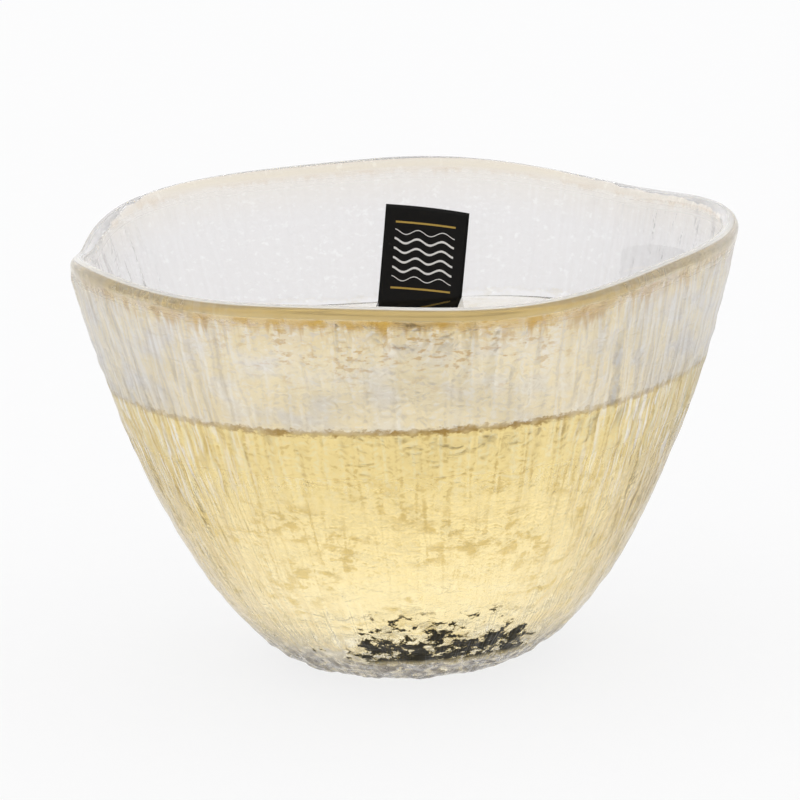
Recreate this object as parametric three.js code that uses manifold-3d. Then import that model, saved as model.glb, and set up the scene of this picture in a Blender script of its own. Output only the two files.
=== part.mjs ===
// A hand-formed tea cup of clear glass with a hammered outside and a wavy rim,
// filled with tea, and a small film label stuck to the inside of its back wall.
// Millimetres, +Z up. The origin is the middle of the flat foot, and +Y is the label's side.
import * as THREE from 'three';
import { mergeVertices } from 'three/addons/utils/BufferGeometryUtils.js';
import Module from 'manifold-3d';

// Bowl of the cup: the outside runs on one curve from the foot to the lip
const cupHeight = 54.8;
const rimRadius = 43;
const footRadius = 13;
const footRise = 13.5; // degrees above level at which the outside leaves the foot
const footSweep = 14.7; // how far the curve follows that direction
const rimRise = 77.5; // degrees above level at which the outside meets the lip
const rimSweep = 18.3;
const lipThickness = 2.2;
const baseThickness = 7;
const baseTaper = 2.2; // how soon the thick base thins into the wall
const rimLean = -0.3; // the rim's middle against the foot's, along X

// Free shape of the mouth: waves round the cup, each with a size and the bearing of a crest
const planWaves = [
  { lobes: 3, size: 1.4, crest: 26 },
  { lobes: 4, size: 1.1, crest: -42.5 },
  { lobes: 5, size: 1.2, crest: -8 },
  { lobes: 6, size: 0.65, crest: 7.5 },
];
const heightWaves = [
  { lobes: 2, size: 0.6, crest: 81 },
  { lobes: 3, size: 1.05, crest: -18.5 },
  { lobes: 4, size: 0.45, crest: 12 },
  { lobes: 6, size: 0.35, crest: 19.5 },
];

// Hammered outside: upright ridges that sway as they climb, by an angle over a height
const hammerDepth = 0.22;
const hammerWaves = [
  { ridges: 17, sway: 0.9, climb: 23 },
  { ridges: 23, sway: 1.6, climb: 14 },
];

// Tea
const teaBelowRim = 16.3;

// Label, placed by its bearing round the axis and its distance down the wall from the rim
const labelWidth = 11.4;
const labelLength = 18;
const labelThickness = 0.3;
const labelBearing = 85;
const labelBelowRim = 5.5;
const labelTilt = 6.5; // degrees, clockwise as seen from inside the cup

// What lies against another piece keeps this far from it
const seatGap = 0.3;

// Steps round the axis and along each stretch of the profile
const aroundSteps = 72;
const outsideSteps = 20;
const lipSteps = 6;
const insideSteps = 16;
const labelStepsAcross = 8;
const labelStepsDown = 10;

const wasm = await Module();
wasm.setup();

const lipRadius = lipThickness / 2;
const teaLevel = cupHeight - teaBelowRim;

function heading(degrees) {
  const angle = THREE.MathUtils.degToRad(degrees);
  return new THREE.Vector2(Math.cos(angle), Math.sin(angle));
}

// The outside in the plane of radius and height
const footEdge = new THREE.Vector2(footRadius, 0);
const lipEdge = new THREE.Vector2(rimRadius, cupHeight - lipRadius);
const outsideCurve = new THREE.CubicBezierCurve(
  footEdge,
  footEdge.clone().addScaledVector(heading(footRise), footSweep),
  lipEdge.clone().addScaledVector(heading(rimRise), -rimSweep),
  lipEdge,
);

function wallThickness(t) {
  return lipThickness + (baseThickness - lipThickness) * (1 - t) ** baseTaper;
}

// A point beside the inside of the wall, at a distance into the hollow
function insidePoint(t, distance) {
  const along = outsideCurve.getTangent(t);
  const inward = new THREE.Vector2(-along.y, along.x);
  return outsideCurve.getPoint(t).addScaledVector(inward, wallThickness(t) + distance);
}

function stretch(steps, point) {
  return Array.from({ length: steps + 1 }, (_, i) => point(i / steps));
}

function waveSum(waves, bearing) {
  let sum = 0;
  for (const { lobes, size, crest } of waves) {
    sum += size * Math.cos(lobes * (bearing - THREE.MathUtils.degToRad(crest)));
  }
  return sum;
}

// Moves a point of the round cup to its place on the hand-formed one
function handFormed(point) {
  const bearing = Math.atan2(point.y, point.x);
  const share = point.z / cupHeight;
  const spread = 1 + (waveSum(planWaves, bearing) / rimRadius) * share;
  const lift = waveSum(heightWaves, bearing) * share * share;
  point.x = point.x * spread + rimLean * share;
  point.y *= spread;
  point.z += lift;
}

function hammerRelief(bearing, height) {
  let sum = 0;
  for (const { ridges, sway, climb } of hammerWaves) {
    const drift = sway * Math.sin((Math.PI * height) / climb);
    sum += Math.cos(ridges * bearing + drift);
  }
  return (hammerDepth * sum) / hammerWaves.length;
}

function eachPoint(geometry, move) {
  const position = geometry.getAttribute('position');
  const point = new THREE.Vector3();
  for (let i = 0; i < position.count; i += 1) {
    point.fromBufferAttribute(position, i);
    move(point, i);
    position.setXYZ(i, point.x, point.y, point.z);
  }
}

// One closed skin: shared corners are merged and flattened triangles go
function closedSkin(geometry) {
  geometry.deleteAttribute('normal');
  geometry.deleteAttribute('uv');
  const merged = mergeVertices(geometry);
  const corners = merged.getIndex().array;
  const kept = [];
  for (let i = 0; i < corners.length; i += 3) {
    const [a, b, c] = corners.slice(i, i + 3);
    if (a !== b && b !== c && c !== a) {
      kept.push(a, b, c);
    }
  }
  merged.setIndex(kept);
  return merged;
}

function turned(profile) {
  const geometry = new THREE.LatheGeometry(profile, aroundSteps);
  return geometry.rotateX(Math.PI / 2);
}

function toSolid(geometry) {
  return new wasm.Manifold(new wasm.Mesh({
    numProp: 3,
    vertProperties: new Float32Array(geometry.getAttribute('position').array),
    triVerts: new Uint32Array(geometry.getIndex().array),
  }));
}

function fromSolid(solid) {
  const mesh = solid.getMesh();
  const geometry = new THREE.BufferGeometry();
  geometry.setAttribute('position', new THREE.BufferAttribute(mesh.vertProperties, 3));
  geometry.setIndex(new THREE.BufferAttribute(mesh.triVerts, 1));
  return geometry;
}

// The glass: foot, outside, rounded lip and inside in one profile
function glassCup() {
  const outside = stretch(outsideSteps, (t) => outsideCurve.getPoint(t));
  const inside = stretch(insideSteps, (t) => insidePoint(1 - t, 0));
  const lipCentre = lipEdge.clone().add(inside[0]).multiplyScalar(0.5);
  const lip = stretch(lipSteps, (t) => {
    return lipEdge.clone().rotateAround(lipCentre, t * Math.PI);
  }).slice(1, -1);
  const floorMiddle = new THREE.Vector2(0, inside.at(-1).y);
  const profile = [new THREE.Vector2(0, 0), ...outside, ...lip, ...inside, floorMiddle];

  const geometry = turned(profile);
  eachPoint(geometry, (point, i) => {
    const row = i % profile.length;
    const up = (row - 1) / outsideSteps;
    if (up > 0 && up < 1) {
      const fade = Math.sin(up * Math.PI);
      const radius = Math.hypot(point.x, point.y);
      const relief = hammerRelief(Math.atan2(point.y, point.x), point.z) * fade;
      point.x *= 1 + relief / radius;
      point.y *= 1 + relief / radius;
    }
    handFormed(point);
  });
  return closedSkin(geometry);
}

// A sheet that follows the inside of the wall between two distances from it
function wallSheet(width, length, near, far) {
  const sheet = new THREE.BoxGeometry(
    width, length, far - near, labelStepsAcross, labelStepsDown, 1,
  );
  const tilt = THREE.MathUtils.degToRad(labelTilt);
  const bearing = THREE.MathUtils.degToRad(labelBearing);
  const middle = labelBelowRim + labelLength / 2;
  const wallLength = outsideCurve.getLength();
  eachPoint(sheet, (point) => {
    const across = point.x * Math.cos(tilt) + point.y * Math.sin(tilt);
    const up = point.y * Math.cos(tilt) - point.x * Math.sin(tilt);
    const fromFoot = wallLength - middle + up;
    const t = outsideCurve.getUtoTmapping(fromFoot / wallLength);
    const distance = (near + far) / 2 + point.z;
    const { x: radius, y: height } = insidePoint(t, distance);
    const angle = bearing - across / radius;
    point.set(radius * Math.cos(angle), radius * Math.sin(angle), height);
    handFormed(point);
  });
  return closedSkin(sheet);
}

function label() {
  return wallSheet(labelWidth, labelLength, seatGap, seatGap + labelThickness);
}

// The tea fills the hollow to a level top and leaves room for the label
function tea() {
  const side = stretch(insideSteps, (t) => insidePoint(t, seatGap));
  const floorMiddle = new THREE.Vector2(0, side[0].y);
  const topMiddle = new THREE.Vector2(0, side.at(-1).y);
  const filling = turned([floorMiddle, ...side, topMiddle]);
  eachPoint(filling, handFormed);

  const airWidth = 4 * rimRadius;
  const air = new THREE.BoxGeometry(airWidth, airWidth, cupHeight);
  air.translate(0, 0, teaLevel + cupHeight / 2);

  const labelRoom = wallSheet(
    labelWidth + 2 * seatGap,
    labelLength + 2 * seatGap,
    -seatGap,
    labelThickness + 2 * seatGap,
  );
  const solid = toSolid(closedSkin(filling))
    .subtract(toSolid(closedSkin(air)))
    .subtract(toSolid(labelRoom));
  return fromSolid(solid);
}

function piece(name, geometry, look) {
  const mesh = new THREE.Mesh(geometry, new THREE.MeshStandardMaterial(look));
  mesh.name = name;
  return mesh;
}

const cup = new THREE.Group();
cup.add(
  piece('glass_cup', glassCup(), {
    color: '#f3f4f2', roughness: 0.06, metalness: 0, transparent: true, opacity: 0.35,
  }),
  piece('tea', tea(), {
    color: '#edd48a', roughness: 0.02, metalness: 0, transparent: true, opacity: 0.7,
  }),
  piece('label', label(), { color: '#0c0b0a', roughness: 0.45, metalness: 0 }),
);

export default cup;
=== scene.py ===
# %% [markdown]
# # A hammered glass tea cup
#
# The real cup is one piece of clear glass, shaped by hand: a thick base, a bowl that opens
# towards a wavy rim, and an outside that looks hammered. It holds pale amber tea, and a small
# black film label is stuck to the inside of its back wall. The solid model already has these
# pieces at their real size. Here each one gets the surface and the material that the eye sees.

# %% Load the solid model
import math
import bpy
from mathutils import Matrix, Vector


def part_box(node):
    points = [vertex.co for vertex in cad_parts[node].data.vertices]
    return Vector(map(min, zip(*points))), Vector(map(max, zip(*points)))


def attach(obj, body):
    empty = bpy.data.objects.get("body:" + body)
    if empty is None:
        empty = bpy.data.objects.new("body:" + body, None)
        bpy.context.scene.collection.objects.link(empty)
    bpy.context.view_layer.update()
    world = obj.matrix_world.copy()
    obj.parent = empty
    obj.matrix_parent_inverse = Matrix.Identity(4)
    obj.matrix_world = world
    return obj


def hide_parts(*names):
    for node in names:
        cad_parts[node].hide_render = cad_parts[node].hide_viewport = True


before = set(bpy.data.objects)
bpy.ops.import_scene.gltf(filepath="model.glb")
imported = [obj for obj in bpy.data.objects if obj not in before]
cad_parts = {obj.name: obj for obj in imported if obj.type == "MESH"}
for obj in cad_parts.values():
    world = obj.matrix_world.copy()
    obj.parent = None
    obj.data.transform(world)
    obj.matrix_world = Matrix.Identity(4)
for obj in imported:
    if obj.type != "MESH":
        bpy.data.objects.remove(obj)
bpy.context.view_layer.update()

from types import SimpleNamespace

import bmesh
import bpy
from mathutils import Matrix, Vector, noise

print("solid pieces:", sorted(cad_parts))

# %% [markdown]
# ## Camera first
#
# The camera decides how large everything looks, so it comes before the shapes. It stands well
# back with a long lens, looks slightly down on the cup and is rolled by about two degrees, so
# the rim climbs to the right. The roll is applied to the camera's own right and up directions.

# %% Place the camera
MM = 0.001
camera_lens = 299.5
camera_sensor = 36.0
camera_distance = 0.851
camera_elevation = math.radians(13.84)
camera_roll = math.radians(2.34)
nearest_seen = 0.05
look_at = Vector((-0.6 * MM, 0, 33.2 * MM))


def place_camera():
    data = bpy.data.cameras.new("camera")
    data.lens = camera_lens
    data.sensor_width = camera_sensor
    data.clip_start = nearest_seen
    back = Vector((0, -math.cos(camera_elevation), math.sin(camera_elevation)))
    right = Vector((1, 0, 0))
    up = back.cross(right)
    rolled_right = right * math.cos(camera_roll) - up * math.sin(camera_roll)
    rolled_up = right * math.sin(camera_roll) + up * math.cos(camera_roll)
    axes = Matrix((rolled_right, rolled_up, back)).transposed()
    camera = bpy.data.objects.new("camera", data)
    camera.matrix_world = Matrix.Translation(look_at + back * camera_distance) @ axes.to_4x4()
    bpy.context.scene.collection.objects.link(camera)
    bpy.context.scene.camera = camera
    return camera


camera = place_camera()
print("camera stands at", [round(x, 3) for x in camera.matrix_world.translation])

# %% [markdown]
# ## The cup's outline
#
# Seen from the side, the outside of the bowl is one smooth curve from the foot to the lip. A
# Bezier curve with four points describes it: where it starts, which way it leaves, which way it
# arrives, and where it ends. The inside runs along the same curve, pushed inwards by a wall that
# is thick at the base and thin at the lip. These are the same sizes as the solid model's.

# %% Sizes of the bowl
cup_height = 54.8 * MM
rim_radius = 43 * MM
foot_radius = 13 * MM
foot_rise = math.radians(13.5)
foot_sweep = 14.7 * MM
rim_rise = math.radians(77.5)
rim_sweep = 18.3 * MM
lip_thickness = 2.2 * MM
base_thickness = 7 * MM
base_taper = 2.2

foot_edge = Vector((foot_radius, 0))
lip_edge = Vector((rim_radius, cup_height - lip_thickness / 2))
foot_handle = foot_edge + foot_sweep * Vector((math.cos(foot_rise), math.sin(foot_rise)))
lip_handle = lip_edge - rim_sweep * Vector((math.cos(rim_rise), math.sin(rim_rise)))


def outside(t):
    """The point at t on the outside, from 0 at the foot to 1 at the lip, and its direction."""
    s = 1 - t
    point = s**3 * foot_edge + 3 * s * s * t * foot_handle
    point += 3 * s * t * t * lip_handle + t**3 * lip_edge
    along = s * s * (foot_handle - foot_edge) + 2 * s * t * (lip_handle - foot_handle)
    along += t * t * (lip_edge - lip_handle)
    return point, along.normalized()


def inside(t, distance=0.0):
    """The point beside the inside of the wall at t, at a distance into the hollow."""
    point, along = outside(t)
    wall = lip_thickness + (base_thickness - lip_thickness) * (1 - t) ** base_taper
    return point + Vector((-along.y, along.x)) * (wall + distance)


def stretch(steps, point):
    """The points of a curve at even steps of t."""
    return [point(i / steps) for i in range(steps + 1)]


print("floor of the hollow at", round(inside(0).y / MM, 2), "mm")
print("mouth", round(2 * inside(1).x / MM, 1), "mm wide")

# %% [markdown]
# ## The hand-formed mouth
#
# A lathe would make a perfectly round cup. The real one was opened by hand, so its mouth is a
# little lobed in plan and its rim rises and falls. A few cosine waves round the cup, growing from
# the foot to the rim, bend every piece in the same way, so the tea and the label still fit. Each
# wave has a number of lobes, a size and the bearing of a crest in degrees.

# %% Waves of the mouth
plan_waves = [(3, 1.4 * MM, 26), (4, 1.1 * MM, -42.5), (5, 1.2 * MM, -8), (6, 0.65 * MM, 7.5)]
height_waves = [(2, 0.6 * MM, 81), (3, 1.05 * MM, -18.5), (4, 0.45 * MM, 12), (6, 0.35 * MM, 19.5)]
rim_lean = -0.3 * MM


def wave_sum(waves, bearing):
    return sum(size * math.cos(lobes * (bearing - math.radians(crest))) for lobes, size, crest in waves)


def hand_formed(point):
    """Moves a point of the round cup to its place on the hand-formed one."""
    bearing = math.atan2(point.y, point.x)
    share = point.z / cup_height
    spread = 1 + wave_sum(plan_waves, bearing) / rim_radius * share
    lift = wave_sum(height_waves, bearing) * share * share
    return Vector((point.x * spread + rim_lean * share, point.y * spread, point.z + lift))


rim_lifts = [wave_sum(height_waves, math.radians(degrees)) for degrees in range(360)]
print("the rim rises by", round(max(rim_lifts) / MM, 1), "mm")
print("the rim falls by", round(-min(rim_lifts) / MM, 1), "mm")

# %% [markdown]
# ## Turning a profile
#
# Glass and tea both start as turned shapes, so one helper spins a profile round the upright axis.
# A spin slows down as the mesh grows, so only one wedge is spun step by step, and the finished
# wedge is then copied round. Merging the doubles closes the seams. A profile can hand its points
# named numbers, which the materials read later.

# %% Spin and finish
wedges = 12
seam_width = 1e-6


def turned(profile, steps, marks=()):
    """Spins a profile of (radius, height) points into a skin that keeps the marks of its points."""
    shape = bmesh.new()
    layers = {name: shape.verts.layers.float.new(name) for name, _ in marks}
    points = [shape.verts.new((p[0], 0, p[1])) for p in profile]
    for name, values in marks:
        for vert, value in zip(points, values):
            vert[layers[name]] = value
    edges = [shape.edges.new(pair) for pair in zip(points, points[1:])]
    wedge = 2 * math.pi / wedges
    axis = {"cent": (0, 0, 0), "axis": (0, 0, 1)}
    bmesh.ops.spin(shape, geom=points + edges, angle=wedge, steps=steps // wedges, **axis)
    skin = list(shape.verts) + list(shape.edges) + list(shape.faces)
    rest = 2 * math.pi - wedge
    bmesh.ops.spin(shape, geom=skin, angle=rest, steps=wedges - 1, use_duplicate=True, **axis)
    bmesh.ops.remove_doubles(shape, verts=shape.verts, dist=seam_width)
    bmesh.ops.recalc_face_normals(shape, faces=shape.faces)
    return shape, layers


def finish_piece(shape, name):
    """Makes an object of a bmesh, shaded smooth."""
    for face in shape.faces:
        face.smooth = True
    mesh = bpy.data.meshes.new(name)
    shape.to_mesh(mesh)
    shape.free()
    piece = bpy.data.objects.new(name, mesh)
    bpy.context.scene.collection.objects.link(piece)
    triangles = sum(len(p.vertices) - 2 for p in mesh.polygons)
    print(name, "has", triangles, "triangles")
    return piece


print("a turned shape is spun in", wedges, "wedges")

# %% [markdown]
# ## The hammered outside
#
# The outside was pressed against a rough mould: long upright ribs that wander and fade, fine
# threads, shallow dents between them, and lumps near the foot. They are wide enough to be real
# geometry, so each point of the outside moves along its normal by a sum of noises. The ribs read
# the bearing round the cup and the distance up the wall, so they follow the wall down to the foot.
# The finest crinkle is too small for the mesh and comes later, as bump.

# %% Relief of the outside
rib_width = 1.8 * MM
rib_length = 13 * MM
rib_depth = 0.38 * MM
thread_width = 0.95 * MM
thread_length = 8 * MM
thread_depth = 0.07 * MM
thread_sharpness = 3
patch_mean = 0.6
patch_swing = 0.8
dent_width = 3.2 * MM
dent_flatness = 1.4
dent_depth = 0.15 * MM
patch_width = 4 * dent_width
foot_share = 0.1
base_height = 14 * MM
base_deepening = 1.2
lump_width = 1.7 * MM
lump_depth = 0.3 * MM
lump_height = 9 * MM
sway_turns = 3
sway_length = 7 * MM
sway_angle = 0.025
sway_seed = 4.7
rib_seed = 11.0
thread_seed = 37.0


def upright_noise(bearing, up, width, length, seed):
    """Noise that is narrow round the cup and long up the wall."""
    reach = rim_radius / width
    round_place = (reach * math.cos(bearing), reach * math.sin(bearing) + seed)
    return noise.noise(Vector((*round_place, up / length)))


def upright_relief(bearing, up, point):
    """Ribs and threads, which come and go in patches."""
    sway = sway_angle * noise.noise(Vector((bearing * sway_turns, up / sway_length, sway_seed)))
    rib = upright_noise(bearing + sway, up, rib_width, rib_length, rib_seed)
    crease = abs(upright_noise(bearing + sway, up, thread_width, thread_length, thread_seed))
    patch = patch_mean + patch_swing * noise.noise(point / patch_width)
    narrowing = min(1.0, point.xy.length / rim_radius + foot_share)
    return narrowing * patch * (rib_depth * rib + thread_depth * (1 - thread_sharpness * crease))


def dent_relief(point):
    """Shallow dents, deeper towards the base, and lumps round the foot."""
    dent = noise.noise(Vector((point.x, point.y, dent_flatness * point.z)) / dent_width)
    deeper = 1 + base_deepening * max(0.0, 1 - point.z / base_height)
    lump = max(0.0, 1 - point.z / lump_height) * noise.noise(point / lump_width)
    return dent_depth * deeper * dent + lump_depth * lump


def relief(bearing, up, point):
    """How far the hammered outside stands off the smooth bowl."""
    return dent_relief(point) + upright_relief(bearing, up, point)


print("ribs of about", round(rib_depth / MM, 2), "mm and dents of about", round(dent_depth / MM, 2), "mm")

# %% [markdown]
# ## The glass
#
# The whole glass is one profile: foot, outside, round lip, inside and floor. Its points carry four
# marks: the distance up the wall, how strongly the point is hammered, whether it is on the outer
# side, and how near it is to the crest of the lip. The relief fades at the foot and the lip, which
# the maker leaves smooth.

# %% Profile and marks of the glass
outside_steps = 140
lip_steps = 10
inside_steps = 40
disc_steps = 4
foot_fade = 0.05
lip_fade = 0.025


def glass_profile():
    wall = stretch(outside_steps, lambda t: outside(t)[0])
    hollow = stretch(inside_steps, lambda t: inside(1 - t))
    middle = (wall[-1] + hollow[0]) / 2
    arm = wall[-1] - middle
    turn = math.pi / lip_steps
    lip = [middle + Matrix.Rotation(turn * i, 2) @ arm for i in range(1, lip_steps)]
    foot = [Vector((foot_radius * i / disc_steps, 0)) for i in range(disc_steps)]
    floor = [Vector((hollow[-1].x * i / disc_steps, hollow[-1].y)) for i in reversed(range(disc_steps))]
    return foot + wall + lip + hollow + floor


def glass_marks(profile):
    """Four numbers for each point. round_lip goes from 0 to 1 over the rounding of the lip."""
    up, hammered, outer, crest = [], [], [], []
    run = 0.0
    for i, point in enumerate(profile):
        share = (i - disc_steps) / outside_steps
        round_lip = (share - 1) * outside_steps / lip_steps
        if 0 < share <= 1:
            run += (point - profile[i - 1]).length
        fade = min(1.0, share / foot_fade, (1 - share) / lip_fade)
        up.append(run)
        hammered.append(fade if 0 < share < 1 else 0.0)
        outer.append(1.0 if round_lip < 0.5 else 0.0)
        crest.append(math.sin(math.pi * round_lip) if 0 < round_lip < 1 else 0.0)
    return [("up", up), ("hammered", hammered), ("outer", outer), ("crest", crest)]


profile = glass_profile()
marks = glass_marks(profile)
print("the glass is turned from", len(profile), "points with the marks", [name for name, _ in marks])

# %% Turn the glass cup
around_steps = 480


def make_glass(profile, marks):
    shape, layers = turned(profile, around_steps, marks)
    bearings = [math.atan2(v.co.y, v.co.x) for v in shape.verts]
    for vert in shape.verts:
        vert.co = hand_formed(vert.co)
    shape.normal_update()
    moves = []
    for vert, bearing in zip(shape.verts, bearings):
        depth = vert[layers["hammered"]]
        moves.append(depth * relief(bearing, vert[layers["up"]], vert.co) if depth else 0.0)
    for vert, move in zip(shape.verts, moves):
        vert.co += vert.normal * move
    return finish_piece(shape, "hammered_glass")


glass = make_glass(profile, marks)
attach(glass, "root")
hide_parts("glass_cup")

# %% [markdown]
# ## The tea
#
# A liquid in a glass has no gap to it. If the tea stopped short of the wall, the wall would mirror
# like an air gap, so here the tea reaches a hair into the glass: the two bends of light at that
# double skin add up to the single bend of a wet wall. The filled bowl is cut level. Where the cut
# leaves points that almost touch, they are merged, because an inset would cross itself there. A
# narrow ring along the shore then keeps the shading of the surface flat.

# %% Pour the tea
tea_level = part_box("tea")[1].z
wet_overlap = 0.04 * MM
tea_around = 240
tea_side_steps = 60
shore_step = 0.3 * MM
shore_ring = 0.5 * MM


def make_tea():
    side = stretch(tea_side_steps, lambda t: inside(t, -wet_overlap))
    floor = [Vector((side[0].x * i / disc_steps, side[0].y)) for i in range(disc_steps)]
    shape, _ = turned(floor + side, tea_around)
    for vert in shape.verts:
        vert.co = hand_formed(vert.co)
    bowl = list(shape.verts) + list(shape.edges) + list(shape.faces)
    level = {"plane_co": (0, 0, tea_level), "plane_no": (0, 0, 1)}
    bmesh.ops.bisect_plane(shape, geom=bowl, clear_outer=True, **level)
    shore_points = [vert for vert in shape.verts if vert.is_boundary]
    bmesh.ops.remove_doubles(shape, verts=shore_points, dist=shore_step)
    shore = [edge for edge in shape.edges if edge.is_boundary]
    top = bmesh.ops.edgeloop_fill(shape, edges=shore)["faces"]
    bmesh.ops.recalc_face_normals(shape, faces=shape.faces)
    bmesh.ops.inset_region(shape, faces=top, thickness=shore_ring)
    bmesh.ops.poke(shape, faces=top)
    return finish_piece(shape, "amber_tea")


tea = make_tea()
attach(tea, "root")
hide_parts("tea")

# %% [markdown]
# ## The label
#
# A thin film sticks to the inside of the back wall and bends with it. A flat grid of the label's
# size is laid on the wall point by point, by the distance down the wall and the bearing round it,
# and then gets its small thickness. A table of short steps up the wall tells where a distance ends.
# The grid keeps a UV map, so the print can be drawn on it.

# %% Distances along the wall
wall_steps = 400


def wall_table():
    """Distances up the outside of the bowl at even steps of t."""
    points = stretch(wall_steps, lambda t: outside(t)[0])
    lengths = [0.0]
    for a, b in zip(points, points[1:]):
        lengths.append(lengths[-1] + (b - a).length)
    return lengths


wall_lengths = wall_table()


def share_at(length):
    """The t at a distance up the outside."""
    i = next(i for i, reached in enumerate(wall_lengths) if reached >= length)
    before, after = wall_lengths[i - 1], wall_lengths[i]
    return (i - 1 + (length - before) / (after - before)) / wall_steps


print("the wall is", round(wall_lengths[-1] / MM, 1), "mm long from the foot to the lip")

# %% Lay the label on the wall
label_width = 11.4 * MM
label_length = 18 * MM
label_thickness = 0.12 * MM
label_gap = 0.05 * MM
label_bearing = math.radians(85)
label_below_rim = 5.5 * MM
label_tilt = math.radians(6.5)
label_steps_across = 24
label_steps_down = 36


def on_wall(across, up, distance):
    """A point beside the inside of the back wall, from a place on the flat label."""
    turned_across = across * math.cos(label_tilt) + up * math.sin(label_tilt)
    turned_up = up * math.cos(label_tilt) - across * math.sin(label_tilt)
    middle = wall_lengths[-1] - label_below_rim - label_length / 2
    radius, height = inside(share_at(middle + turned_up), distance)
    bearing = label_bearing - turned_across / radius
    return hand_formed(Vector((radius * math.cos(bearing), radius * math.sin(bearing), height)))


def make_label():
    shape = bmesh.new()
    shape.loops.layers.uv.new("UVMap")
    segments = {"x_segments": label_steps_across, "y_segments": label_steps_down}
    bmesh.ops.create_grid(shape, size=0.5, calc_uvs=True, **segments)
    face_distance = label_gap + label_thickness
    for vert in shape.verts:
        vert.co = on_wall(vert.co.x * label_width, vert.co.y * label_length, face_distance)
    shape.normal_update()
    bmesh.ops.solidify(shape, geom=shape.faces, thickness=label_thickness)
    bmesh.ops.recalc_face_normals(shape, faces=shape.faces)
    return finish_piece(shape, "film_label")


label = make_label()
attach(label, "root")
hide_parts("label")

# %% [markdown]
# ## A small language for materials
#
# A material is a graph of nodes. Written node by node it is hard to read, so one class stands for
# a value that changes over the surface, and sums and products of values add the Math nodes. Every
# other node comes from one method that takes its type, its settings and its inputs. Paint comes in
# layers, as on a real surface: each layer has a share between 0 and 1 and a colour.


# %% Values
class Value:
    """One output of a node. Arithmetic on values adds Math nodes."""

    def __init__(self, nodes, socket):
        self.nodes = nodes
        self.socket = socket

    def math(self, operation, first, second=0.0):
        return self.nodes.add("ShaderNodeMath", {"operation": operation}, {0: first, 1: second})

    def __add__(self, other):
        return self.math("ADD", self, other)

    def __radd__(self, other):
        return self.math("ADD", other, self)

    def __sub__(self, other):
        return self.math("SUBTRACT", self, other)

    def __rsub__(self, other):
        return self.math("SUBTRACT", other, self)

    def __mul__(self, other):
        return self.math("MULTIPLY", self, other)

    def __rmul__(self, other):
        return self.math("MULTIPLY", other, self)

    def __truediv__(self, other):
        return self.math("DIVIDE", self, other)

    def __lt__(self, other):
        return self.math("LESS_THAN", self, other)

    def __abs__(self):
        return self.math("ABSOLUTE", self)

    def sine(self):
        return self.math("SINE", self)

    def either(self, other):
        """The larger of two values."""
        return self.math("MAXIMUM", self, other)

    def within(self, size):
        """How far a value has got into the next whole size."""
        return self.math("FLOORED_MODULO", self, size)

    def ramp(self, start, end):
        """Rises softly from 0 at start to 1 at end."""
        edges = {0: self, 1: start, 2: end}
        return self.nodes.add("ShaderNodeMapRange", {"interpolation_type": "SMOOTHSTEP"}, edges)


print("named steps of a value:", [name for name in vars(Value) if not name.startswith("_")])


# %% Node trees
class Nodes:
    """A node tree with one method that adds any node, and short names for frequent ones."""

    def __init__(self, tree):
        self.tree = tree

    def find(self, kind):
        return next(node for node in self.tree.nodes if node.type == kind)

    def add(self, kind, settings=None, inputs=None, output=0):
        node = self.tree.nodes.new(kind)
        for key, setting in (settings or {}).items():
            setattr(node, key, setting)
        self.feed(node, inputs or {})
        return Value(self, node.outputs[output])

    def feed(self, node, inputs):
        for key, given in inputs.items():
            if isinstance(given, Value):
                self.tree.links.new(given.socket, node.inputs[key])
            else:
                node.inputs[key].default_value = given

    def principled(self, inputs):
        """Sets inputs of the tree's own Principled shader."""
        node = self.find("BSDF_PRINCIPLED")
        self.feed(node, inputs)
        return Value(self, node.outputs[0])

    def mix(self, share, first, second):
        """A colour between two others."""
        return self.add("ShaderNodeMix", {"data_type": "RGBA"}, {0: share, 6: first, 7: second}, output=2)

    def paint(self, ground, layers):
        """The ground under layers of paint, each with its share and colour."""
        for share, colour in layers:
            ground = self.mix(share, ground, colour)
        return ground

    def blend(self, share, first, second):
        """A shader between two others."""
        return self.add("ShaderNodeMixShader", {}, {0: share, 1: first, 2: second})

    def bump(self, distance, height):
        inputs = {"Strength": 1.0, "Distance": distance, "Height": height}
        return self.add("ShaderNodeBump", {}, inputs)

    def parts(self, vector):
        return [self.add("ShaderNodeSeparateXYZ", {}, {0: vector}, output=i) for i in range(3)]

    def join(self, x, y, z=0.0):
        return self.add("ShaderNodeCombineXYZ", {}, {0: x, 1: y, 2: z})

    def vector(self, operation, inputs):
        return self.add("ShaderNodeVectorMath", {"operation": operation}, inputs)

    def mark(self, name):
        """A number that the points of a piece carry."""
        return self.add("ShaderNodeAttribute", {"attribute_name": name}, output="Fac")

    def noise(self, place, size, detail=2.0, roughness=0.5, distortion=0.0):
        """Noise with features of a size given for each axis, from 0 to 1."""
        scaled = self.add("ShaderNodeMapping", {}, {0: place, 3: tuple(1 / s for s in size)})
        inputs = {"Vector": scaled, "Scale": 1.0, "Detail": detail}
        inputs.update({"Roughness": roughness, "Distortion": distortion})
        return self.add("ShaderNodeTexNoise", {}, inputs)

    def spots(self, place, size, edges, **look):
        """Noise turned into soft spots: 0 below the first edge and 1 above the second."""
        return self.noise(place, size, **look).ramp(*edges)


def new_finish(name):
    """A material and its node tree."""
    material = bpy.data.materials.new(name)
    material.use_nodes = True
    return material, Nodes(material.node_tree)


def put_on(piece, material):
    piece.data.materials.clear()
    piece.data.materials.append(material)
    print(piece.name, "wears", material.name, "with", len(material.node_tree.nodes), "nodes")


print("named steps of a node tree:", [name for name in vars(Nodes) if not name.startswith("_")])

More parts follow.
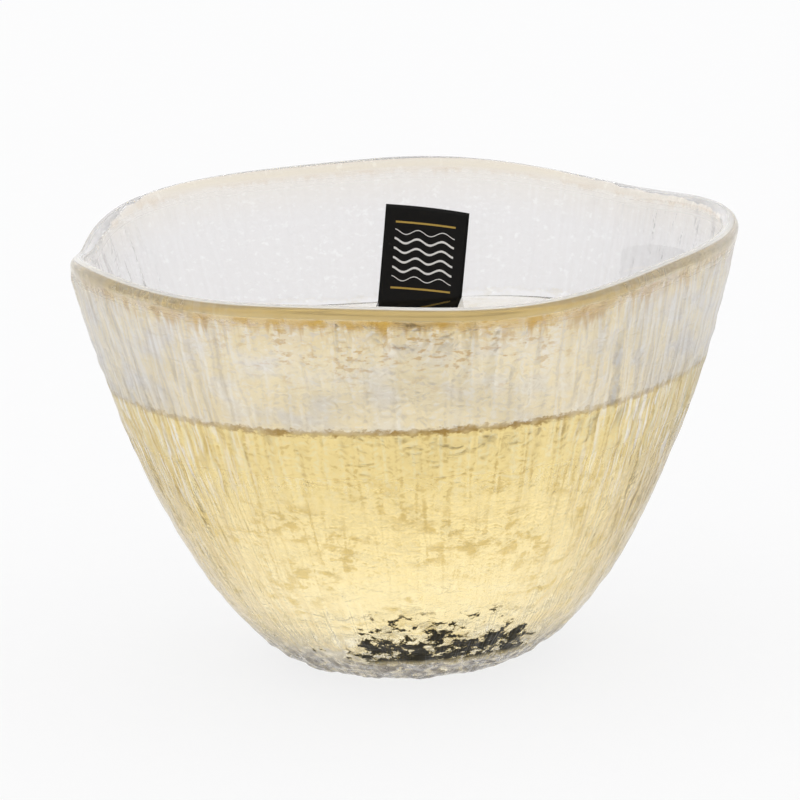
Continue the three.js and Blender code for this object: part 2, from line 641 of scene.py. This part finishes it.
# %% [markdown]
# ## Clear glass: where a point lies
#
# Most of what the eye sees on the real cup is light that the glass bends. The mesh holds the ribs
# and dents, but not the thousands of smaller ripples or the light that gathers in them. So the
# glass gets layers: a glass shader bends the light, bump adds the smallest ripples, and a thin coat
# of paint shows the light and shade of what is too small to model. Every layer asks where on the
# cup a point lies. The tea's level shows through the relief as a ragged line, so a noise shifts the
# height at which a point counts as above the tea.

# %% Places on the glass
near_side = (-9 * MM, 5 * MM)
front_side = (-32 * MM, 5 * MM)
flanks = (12 * MM, 30 * MM)
line_raggedness = 2.4 * MM
line_fade = (-0.2 * MM, 0.6 * MM)


def grain(wide, tall):
    """The size of a noise's features in millimetres, round the cup and up the wall."""
    return (wide * MM, wide * MM, tall * MM)


def glass_places(nodes):
    """Values that all layers share. near is the half towards -Y, and side the left and right flanks."""
    cup = SimpleNamespace(nodes=nodes)
    cup.place = nodes.add("ShaderNodeTexCoord", output="Object")
    cup.x, cup.y, cup.z = nodes.parts(cup.place)
    outward = nodes.vector("NORMALIZE", {0: nodes.join(cup.x, cup.y)})
    around = nodes.vector("SCALE", {0: outward, "Scale": rim_radius})
    cup.around_x, cup.around_y, _ = nodes.parts(around)
    cup.wrapped = nodes.join(cup.around_x, cup.around_y, cup.z)
    cup.hammered = nodes.mark("hammered")
    cup.outer = nodes.mark("outer")
    cup.crest = nodes.mark("crest")
    cup.up = nodes.mark("up")
    cup.below_lip = wall_lengths[-1] - cup.up
    cup.near = 1 - cup.y.ramp(*near_side)
    cup.front = 1 - cup.y.ramp(*front_side)
    cup.side = abs(cup.x).ramp(*flanks)
    ragged = nodes.noise(cup.place, grain(1.0, 0.6), detail=5.0, roughness=0.7)
    cup.line_height = cup.z - tea_level + (ragged - 0.5) * line_raggedness
    cup.above_tea = cup.line_height.ramp(*line_fade)
    cup.in_tea = 1 - cup.above_tea
    return cup


glass_material, glass_nodes = new_finish("clear_glass")
cup = glass_places(glass_nodes)
print("places on the glass take", len(glass_nodes.tree.nodes), "nodes")

# %% [markdown]
# ## Ripples and their light
#
# Two noises make the smallest ripples: a crinkle that is wider than it is tall, and thin upright
# threads. Their height feeds the bump. The same noises, read once more a small step higher or
# further round, also tell which way a ripple leans. A ripple that leans to the light is painted
# bright and one that leans away is painted dark, which the eye reads as relief. Upright threads
# show best on the flanks of the cup, so they are stronger there.

# %% Ripples
crinkle_look = {"size": grain(1.5, 1.0), "detail": 3.0, "roughness": 0.5, "distortion": 0.7}
thread_look = {"size": grain(1.5, 10), "detail": 1.0, "distortion": 0.5}
step_up = 0.3 * MM
step_round = 0.01
lit_slopes = (0.02, 0.17)
dark_slopes = (0.04, 0.2)
calm_heights = (8 * MM, 22 * MM)


def add_ripples(cup):
    nodes = cup.nodes
    crinkle = nodes.noise(cup.place, **crinkle_look)
    threads = nodes.noise(cup.wrapped, **thread_look)
    higher = nodes.vector("ADD", {0: cup.place, 1: (0, 0, step_up)})
    sideways = nodes.join(cup.around_y * step_round, cup.around_x * -step_round)
    beside = nodes.vector("ADD", {0: cup.wrapped, 1: sideways})
    crinkle_slope = crinkle - nodes.noise(higher, **crinkle_look)
    thread_slope = nodes.noise(beside, **thread_look) - threads
    slope = (0.9 - 0.5 * cup.side) * crinkle_slope + (0.9 + 0.9 * cup.side) * thread_slope
    cup.lit = slope.ramp(*lit_slopes)
    cup.dark = (-1 * slope).ramp(*dark_slopes)
    calm = 0.45 + 0.55 * cup.z.ramp(*calm_heights)
    height = 0.9 * crinkle * calm - 0.9 * abs(threads - 0.5)
    cup.height = height * cup.hammered * (0.5 + 0.5 * cup.near)


add_ripples(cup)
print("with ripples the glass has", len(glass_nodes.tree.nodes), "nodes")

# %% [markdown]
# ## Amber at the lip
#
# The wall leads the tea's colour up to the lip, as a light pipe does. That piped light is painted
# here: an amber edge, short runs of uneven length under the edge, shaped like drips, and a
# honey-coloured halo below them. The painted amber is strongest at the front of the cup. The crest
# of the lip gets a painted highlight all round.

# %% Lip
edge_depth = 0.4 * MM
drip_start = (0.1 * MM, 0.4 * MM)
drip_shortest = 1.5 * MM
drip_longer = 5 * MM
drip_fade = (0.3, 1.0)
halo_depth = 6.5 * MM
crown_rise = (0.85, 0.98)


def add_lip(cup):
    nodes = cup.nodes
    # Painted amber light piped from the tea: runs shaped like drips, an edge and a halo.
    strength = cup.outer * (0.35 + 0.65 * cup.front * cup.front * (1 - 0.55 * cup.side))
    lengths = nodes.spots(cup.wrapped, grain(1.6, 9), (0.4, 0.8), detail=3.0, roughness=0.6)
    drip_end = (drip_shortest + lengths * drip_longer) * (0.4 + 0.6 * cup.front)
    drip = strength * cup.below_lip.ramp(*drip_start) * (1 - (cup.below_lip / drip_end).ramp(*drip_fade))
    cup.drip = drip * (0.5 + 0.5 * nodes.spots(cup.wrapped, grain(3, 5), (0.4, 0.62)))
    cup.edge = strength * (1 - cup.below_lip.ramp(0.0, edge_depth))
    cup.halo = strength * (1 - cup.below_lip.ramp(0.0, halo_depth))
    # A painted highlight along the crest of the lip.
    cup.crown = cup.crest.ramp(*crown_rise)


add_lip(cup)
print("with the lip the glass has", len(glass_nodes.tree.nodes), "nodes")

# %% [markdown]
# ## Above the tea
#
# Over the tea the relief looks frosted, because each ripple shows another bit of the white room.
# Painted warm light in clouds, painted ochre flecks of tea light near the lip, painted glints as
# pale dots on the back wall and painted highlights as thin upright streaks on the flanks break that
# frost up. Each of them is a noise that a soft ramp turns into spots.

# %% Upper wall
fleck_depths = (4 * MM, 13 * MM)


def add_upper_wall(cup):
    nodes = cup.nodes
    # Painted warm light in clouds.
    clouds = nodes.spots(cup.place, grain(5, 4), (0.3, 0.6), detail=3.0)
    cup.warmth = cup.outer * cup.near * cup.above_tea * clouds
    # Painted ochre flecks of tea light near the lip.
    flecks = nodes.spots(cup.place, grain(1.4, 0.55), (0.52, 0.62), detail=3.0, roughness=0.6)
    patches = nodes.spots(cup.place, grain(4, 3), (0.4, 0.6))
    band = cup.above_tea * cup.front * (1 - cup.side) * (1 - cup.below_lip.ramp(*fleck_depths))
    cup.flecks = flecks * patches * band
    # Painted glints, as pale dots.
    cup.dots = nodes.spots(cup.place, grain(1.1, 0.8), (0.57, 0.70), detail=3.0, roughness=0.6)
    # Painted highlights, as thin upright streaks on the flanks.
    streaks = nodes.spots(cup.wrapped, grain(0.55, 5), (0.53, 0.62), distortion=0.5)
    cup.streaks = cup.side * streaks


add_upper_wall(cup)
print("with the upper wall the glass has", len(glass_nodes.tree.nodes), "nodes")

# %% [markdown]
# ## In front of the tea
#
# Seen through the relief, the tea's surface is a broken dark line, painted here as brown shade.
# Below it the glass gets painted tan shade in mottles that come in clouds, and on the flanks thin
# brown runnels of painted shade, where a fold in the wall bends the view to the dark side of the tea.
# A runnel is the place where a noise crosses its middle.

# %% Lower wall
line_middle = 0.15 * MM
line_width = (0.2 * MM, 0.6 * MM)
runnel_width = (0.006, 0.03)
mottled_heights = (27 * MM, 35 * MM)


def add_lower_wall(cup):
    nodes = cup.nodes
    cup.clouds = nodes.spots(cup.place, grain(7, 6), (0.38, 0.6))
    # Painted tan shade in mottles, which come in clouds.
    mottles = nodes.spots(cup.place, grain(2.2, 1.5), (0.47, 0.62), detail=4.0, roughness=0.6)
    fewer_above = 1 - 0.6 * cup.z.ramp(*mottled_heights)
    cup.mottles = mottles * cup.clouds * fewer_above * cup.in_tea
    # Painted shade along runnels, where a fold bends the view to the dark side of the tea.
    folds = nodes.noise(cup.wrapped, grain(3, 30), detail=1.0, distortion=0.35)
    cup.runnels = (1 - abs(folds - 0.5).ramp(*runnel_width)) * cup.side
    # A painted line of dark shade where the tea meets the wall.
    line = 1 - abs(cup.line_height - line_middle).ramp(*line_width)
    breaks = 0.55 + 0.45 * nodes.spots(cup.place, grain(2, 2), (0.35, 0.6))
    cup.tea_line = line * breaks * cup.front * (1 - 0.5 * cup.side)


add_lower_wall(cup)
print("with the lower wall the glass has", len(glass_nodes.tree.nodes), "nodes")

# %% [markdown]
# ## The base
#
# The thick base gathers light like a lens. On the real cup it shows grey glass with white sparkles
# round the foot, and a band of dark olive patches above it at the front. Here the grey is painted
# shade with clear gaps for glints, the sparkles are painted highlights and the patches are painted
# shade. The patches come from one detailed noise: a low threshold gives their olive rims and a
# higher one their dark middles.

# %% Base
foot_start = 2 * MM
grey_heights = (3 * MM, 8.5 * MM)
sparkle_top = (3.2 * MM, 4.6 * MM)
patch_top = (11.5 * MM, 13 * MM)
patch_thinning = (6 * MM, 11.5 * MM)
patch_front = (-16 * MM, -10 * MM)
patch_middle = 3.5 * MM
patch_ends = (8.5 * MM, 13 * MM)
olive_edge = (0.415, 0.45)
dark_edge = (0.44, 0.465)


def add_base(cup):
    nodes = cup.nodes
    # Painted grey shade round the foot, with clear gaps for glints.
    foot = cup.up.ramp(0.0, foot_start) * (1 - cup.z.ramp(*grey_heights))
    glints = nodes.spots(cup.place, grain(1.2, 0.9), (0.48, 0.62), detail=3.0, roughness=0.6)
    cup.foot_grey = cup.outer * foot * (1 - 0.85 * glints)
    above_foot = cup.z.ramp(*sparkle_top)
    # Painted highlights, as sparkles round the foot.
    cup.sparkle = (1 - above_foot) * nodes.spots(cup.place, grain(1.0, 0.7), (0.57, 0.63))
    # Painted olive and dark shade in patches above the foot, at the front.
    shade = nodes.noise(cup.place, grain(1.8, 1.2), detail=6.0, roughness=0.68, distortion=0.2)
    shade = shade - 0.14 * cup.z.ramp(*patch_thinning)
    shade = shade - 0.2 * abs(cup.x - patch_middle).ramp(*patch_ends)
    band = cup.outer * above_foot * (1 - cup.z.ramp(*patch_top)) * (1 - cup.y.ramp(*patch_front))
    cup.olive_patch = shade.ramp(*olive_edge) * band
    cup.dark_patch = shade.ramp(*dark_edge) * band


add_base(cup)
print("with the base the glass has", len(glass_nodes.tree.nodes), "nodes")

# %% [markdown]
# ## The glass shader
#
# Glass colours the light that passes it, so these layers tint the transmission. All of them are
# painted light and shade: painted amber light that the wall carries from the tea, and painted shade
# in the ripples, the runnels, along the tea's line, on the back wall and round the base. The shader
# takes the square root of the colour at each skin, so the colours here are deeper than they look.
# At grazing angles light runs a long way through the wall, and that greying of the outline is
# painted as shade.
# The hammered outside is a little rough, and rougher in its upper half.

# %% Tints of the glass
clear = (0.985, 0.985, 0.98, 1)
# Painted shade: grey and tan for the outline, and grey for the dark sides of ripples.
side_grey = (0.78, 0.75, 0.71, 1)
side_tan = (0.33, 0.25, 0.11, 1)
# Painted shade that darkens the back half of the wall, with gaps for painted glints.
back_mist = (0.80, 0.775, 0.78, 1)
# Painted amber light, which the wall and its ripples carry up from the tea.
cream = (0.94, 0.84, 0.60, 1)
honey = (0.80, 0.60, 0.24, 1)
ochre = (0.50, 0.24, 0.008, 1)
beige = (0.52, 0.35, 0.08, 1)
# Painted shade for ripples, runnels, the tea's line and the base.
tan = (0.50, 0.40, 0.16, 1)
runnel_brown = (0.34, 0.25, 0.07, 1)
line_brown = (0.20, 0.10, 0.003, 1)
base_grey = (0.05, 0.043, 0.04, 1)
olive = (0.20, 0.14, 0.02, 1)
deep_brown = (0.002, 0.0013, 0.0001, 1)
grazing_angles = (0.15, 0.9)
shaded_heights = (9 * MM, 20 * MM)


def glass_tint(cup):
    nodes = cup.nodes
    # Painted shade at grazing angles: grey above the tea and tan in front of it.
    facing = nodes.add("ShaderNodeLayerWeight", {}, {"Blend": 0.5}, output="Facing")
    grazing = facing.ramp(*grazing_angles)
    outline = nodes.mix(cup.above_tea, side_tan, side_grey)
    near_outer = cup.outer * cup.near
    shaded_tea = near_outer * cup.z.ramp(*shaded_heights) * cup.in_tea * cup.dark
    # Painted light and shade over clear glass, one layer after another.
    return nodes.paint(clear, [
        (0.9 * cup.outer * grazing, outline),
        (cup.outer * (1 - cup.near) * (1 - cup.dots), back_mist),
        (cup.warmth, cream),
        (0.9 * cup.halo, honey),
        (0.8 * cup.outer * cup.flecks, ochre),
        ((0.25 + 0.45 * cup.clouds) * shaded_tea, tan),
        (0.5 * near_outer * cup.above_tea * cup.dark, side_grey),
        (0.9 * cup.outer * cup.mottles, tan),
        (0.9 * near_outer * cup.runnels * (1 - 0.7 * cup.above_tea), runnel_brown),
        (0.95 * cup.outer * cup.tea_line, line_brown),
        (0.95 * cup.drip, ochre),
        (0.85 * cup.edge, beige),
        (cup.foot_grey, base_grey),
        (cup.olive_patch, olive),
        (cup.dark_patch, deep_brown),
    ])


tint = glass_tint(cup)
print("with its tints the glass has", len(glass_nodes.tree.nodes), "nodes")

# %% Glass shader
glass_ior = 1.5
glass_ripple = 0.2 * MM
smooth_glass = 0.02
rougher_heights = (18 * MM, 34 * MM)


def glass_shader(cup, tint):
    nodes = cup.nodes
    rough = smooth_glass + cup.hammered * (0.07 + 0.19 * cup.z.ramp(*rougher_heights))
    ripple = nodes.bump(glass_ripple, cup.height)
    surface = {"Base Color": tint, "Roughness": rough, "Normal": ripple}
    return nodes.principled({**surface, "IOR": glass_ior, "Transmission Weight": 1.0})


clear_shader = glass_shader(cup, tint)
print("with its shader the glass has", len(glass_nodes.tree.nodes), "nodes")

# %% [markdown]
# ## The frost
#
# The coat of paint is a second shader, matte and partly translucent, that is mixed into the glass
# where the relief scatters light. Above the tea it is lavender grey, with painted warm light in
# cream, painted white highlights and glints, and painted shade. In front of the tea it is a painted
# amber glow, for light that comes through the tea and leaves by a ripple, with painted highlights
# and shade. It also carries the painted amber light at the lip, the painted highlight on the crest
# and the painted shade of the tea's line and the base patches. On the back wall it lets more light
# through, because that wall is lit from behind.

# %% Tints of the frost
frost_lavender = (0.78, 0.745, 0.72, 1)
# Cream, honey, ochre and beige are painted amber light, and white is a painted highlight.
frost_cream = (0.97, 0.87, 0.64, 1)
frost_honey = (0.82, 0.65, 0.34, 1)
frost_white = (0.97, 0.97, 0.97, 1)
# The shadow, the line and the olive are painted shade.
frost_shadow = (0.60, 0.55, 0.50, 1)
frost_ochre = (0.50, 0.27, 0.02, 1)
frost_beige = (0.54, 0.40, 0.17, 1)
frost_line = (0.38, 0.21, 0.015, 1)
frost_olive = (0.016, 0.012, 0.002, 1)
# The tea's glow, light and shadow are painted light and shade, for light that leaves the tea by a ripple.
tea_glow = (1.0, 0.80, 0.34, 1)
tea_light = (1.0, 0.91, 0.58, 1)
tea_shadow = (0.62, 0.42, 0.11, 1)


def frost_tint(cup):
    nodes = cup.nodes
    # The tea's painted amber glow, with painted highlights and painted shade on its ripples.
    wet = nodes.paint(tea_glow, [
        (cup.lit, tea_light),
        (0.6 * cup.dark, tea_shadow),
        (0.9 * cup.streaks + cup.sparkle, frost_white),
    ])
    # Painted light and shade over the frost's lavender grey.
    return nodes.paint(frost_lavender, [
        (cup.warmth, frost_cream),
        (0.9 * cup.halo, frost_honey),
        ((1 - cup.near) * cup.dots, frost_white),
        (0.6 * cup.dark, frost_shadow),
        (0.9 * cup.lit + 0.5 * cup.streaks + cup.sparkle, frost_white),
        (0.6 * cup.flecks, frost_ochre),
        (cup.in_tea, wet),
        (cup.drip, frost_ochre),
        (cup.edge, frost_beige),
        (cup.tea_line, frost_line),
        (cup.dark_patch, frost_olive),
        (cup.crown, frost_white),
    ])


coat_tint = frost_tint(cup)
print("with the tints of its frost the glass has", len(glass_nodes.tree.nodes), "nodes")

# %% Frost on the glass
frost_glow = (0.88, 0.865, 0.865, 1)
frost_ripple = 0.5 * MM
frost_roughness = 0.3
frost_gloss = 0.1
lit_heights = (24 * MM, 34 * MM)


def frost_shader(cup, tint):
    nodes = cup.nodes
    ripple = nodes.bump(frost_ripple, cup.height)
    surface = {"Base Color": tint, "Roughness": frost_roughness, "Normal": ripple}
    matte = nodes.add("ShaderNodeBsdfPrincipled", {}, {**surface, "Specular IOR Level": frost_gloss})
    glow = nodes.add("ShaderNodeBsdfTranslucent", {}, {"Color": frost_glow})
    through = (0.15 + 0.6 * (1 - cup.near)) * cup.above_tea
    return nodes.blend(through, matte, glow)


def frost_share(cup):
    """How much of the glass the frost covers at a point."""
    upper = 0.42 * cup.above_tea * cup.hammered
    lit_tea = 0.3 * cup.streaks + 0.38 * cup.z.ramp(*lit_heights)
    lower = cup.near * cup.hammered * cup.in_tea * lit_tea
    # Painted glints at the lip's edge, round the foot and on the crest, and painted shade over the dark
    # patches.
    glints = cup.near * (0.45 * cup.edge + 0.75 * cup.sparkle) + 0.3 * cup.crown
    return upper + lower + glints + 0.9 * cup.dark_patch


frosted = glass_nodes.blend(frost_share(cup), clear_shader, frost_shader(cup, coat_tint))
glass_nodes.feed(glass_nodes.find("OUTPUT_MATERIAL"), {"Surface": frosted})
put_on(glass, glass_material)

# %% [markdown]
# ## Amber tea
#
# Tea is coloured all the way through, so its colour is an absorption in the volume: the longer the
# way through the tea, the deeper the amber. The surface itself is clear and smooth.

# %% Tea finish
clear_water = (1, 1, 1, 1)
water_ior = 1.333
amber = (0.99, 0.82, 0.12, 1)
amber_density = 19.0


def tea_finish():
    material, nodes = new_finish("amber_tea")
    surface = {"Base Color": clear_water, "Roughness": 0.0}
    nodes.principled({**surface, "IOR": water_ior, "Transmission Weight": 1.0})
    colour = nodes.add("ShaderNodeVolumeAbsorption", {}, {"Color": amber, "Density": amber_density})
    nodes.feed(nodes.find("OUTPUT_MATERIAL"), {"Volume": colour})
    return material


put_on(tea, tea_finish())

# %% [markdown]
# ## Black film
#
# The label is a black film with a plain print of its own: silver waves, as on water, between two
# gold rules. The print is drawn with distances on the label's UV map. A fine grain varies the width
# of the silver lines and the gloss of the film, as on real print.

# %% Label finish
film_black = (0.004, 0.0035, 0.003, 1)
print_silver = (0.72, 0.71, 0.70, 1)
print_gold = (0.45, 0.30, 0.07, 1)
print_grain = (0.02, 0.013, 1)
print_half_width = 4.1 * MM
wave_length = 3.4 * MM
wave_swing = 0.32 * MM
wave_spacing = 1.25 * MM
wave_line = 0.11 * MM
wave_line_grain = 0.06 * MM
waves_middle = 2.5 * MM
waves_half_height = 3.1 * MM
rule_heights = (6.8 * MM, -1.8 * MM)
rule_half_width = 0.12 * MM
film_gloss = 0.15


def label_finish():
    material, nodes = new_finish("black_film")
    uv = nodes.add("ShaderNodeUVMap", {"uv_map": "UVMap"})
    across, up, _ = nodes.parts(uv)
    x = (across - 0.5) * label_width
    y = (up - 0.5) * label_length
    speckle = nodes.noise(uv, print_grain)
    printed = abs(x) < print_half_width
    swell = y + wave_swing * (x * (2 * math.pi / wave_length)).sine()
    from_line = abs(swell.within(wave_spacing) - wave_spacing / 2)
    on_line = from_line < wave_line + wave_line_grain * speckle
    waves = on_line * (abs(swell - waves_middle) < waves_half_height)
    upper_rule, lower_rule = [abs(y - height) < rule_half_width for height in rule_heights]
    rules = upper_rule.either(lower_rule)
    colour = nodes.paint(film_black, [(waves * printed, print_silver), (rules * printed, print_gold)])
    surface = {"Base Color": colour, "Roughness": 0.42 + 0.2 * speckle}
    nodes.principled({**surface, "Specular IOR Level": film_gloss})
    return material


put_on(label, label_finish())

# %% [markdown]
# ## Floor and light
#
# The cup stands on white paper in a white room. Clear glass shows what is around it, so the room
# does all the lighting and there are no lamps: it grows brighter overhead and behind the cup, which
# lights the tea from behind and keeps the relief readable. To the eye the paper glows a little,
# seen straight, mirrored or through the glass, so it stays white under the cup. All other light
# meets it as plain matte paper.

# %% Floor
floor_gap = 0.1 * MM
floor_radius = 4.0
floor_sides = 96
paper_dark = (0.76, 0.76, 0.77, 1)
paper_light = (0.80, 0.80, 0.81, 1)
paper_roughness = 0.9
paper_gloss = 0.1
paper_glow = (0.97, 0.97, 0.97, 1)
glow_share = 0.85


def floor_finish():
    material, nodes = new_finish("white_floor")
    place = nodes.add("ShaderNodeTexCoord", output="Object")
    paper = nodes.mix(nodes.noise(place, grain(4, 4)), paper_dark, paper_light)
    surface = {"Base Color": paper, "Roughness": paper_roughness}
    matte = nodes.principled({**surface, "Specular IOR Level": paper_gloss})
    glow = nodes.add("ShaderNodeEmission", {}, {"Color": paper_glow, "Strength": 1.0})
    kinds = ["Is Camera Ray", "Is Glossy Ray", "Is Transmission Ray"]
    straight, mirrored, bent = [nodes.add("ShaderNodeLightPath", output=kind) for kind in kinds]
    seen = straight.either(mirrored.either(bent))
    nodes.feed(nodes.find("OUTPUT_MATERIAL"), {"Surface": nodes.blend(glow_share * seen, matte, glow)})
    return material


def make_floor():
    shape = bmesh.new()
    bmesh.ops.create_circle(shape, cap_ends=True, segments=floor_sides, radius=floor_radius)
    bmesh.ops.translate(shape, verts=shape.verts, vec=(0, 0, -floor_gap))
    return finish_piece(shape, "floor")


floor = make_floor()
put_on(floor, floor_finish())

# %% [markdown]
# ## Room
#
# The room is the world's own background, brighter or darker by direction. Light on its way through
# the cup crosses many skins of glass and tea, so it may bounce more often than usual. With too few
# bounces the base would turn black.

# %% Room and bounces
room_white = (0.99, 0.99, 1.0, 1)
room_strength = 0.8
wall_boost = 0.22
ceiling_boost = 0.35
back_boost = 0.42
glass_bounces = 32
mirror_bounces = 24


def light_room(scene):
    world = bpy.data.worlds.new("studio")
    world.use_nodes = True
    nodes = Nodes(world.node_tree)
    direction = nodes.add("ShaderNodeTexCoord", output="Generated")
    _, back, rise = nodes.parts(direction)
    strength = room_strength + wall_boost * rise.ramp(0.0, 0.3) + ceiling_boost * rise.ramp(0.3, 0.9)
    strength = strength + back_boost * back.ramp(0.2, 0.95)
    nodes.feed(nodes.find("BACKGROUND"), {"Color": room_white, "Strength": strength})
    world.cycles.sampling_method = "NONE"
    scene.world = world
    scene.view_settings.view_transform = "Standard"
    scene.cycles.max_bounces = glass_bounces
    scene.cycles.transmission_bounces = glass_bounces
    scene.cycles.glossy_bounces = mirror_bounces


light_room(bpy.context.scene)
print("the room is lit by", bpy.context.scene.world.name, "with up to", glass_bounces, "bounces")

# %% [markdown]
# ## Sizes
#
# The dressed cup has to keep the size of the solid model, or it wouldn't fit where the model fits.
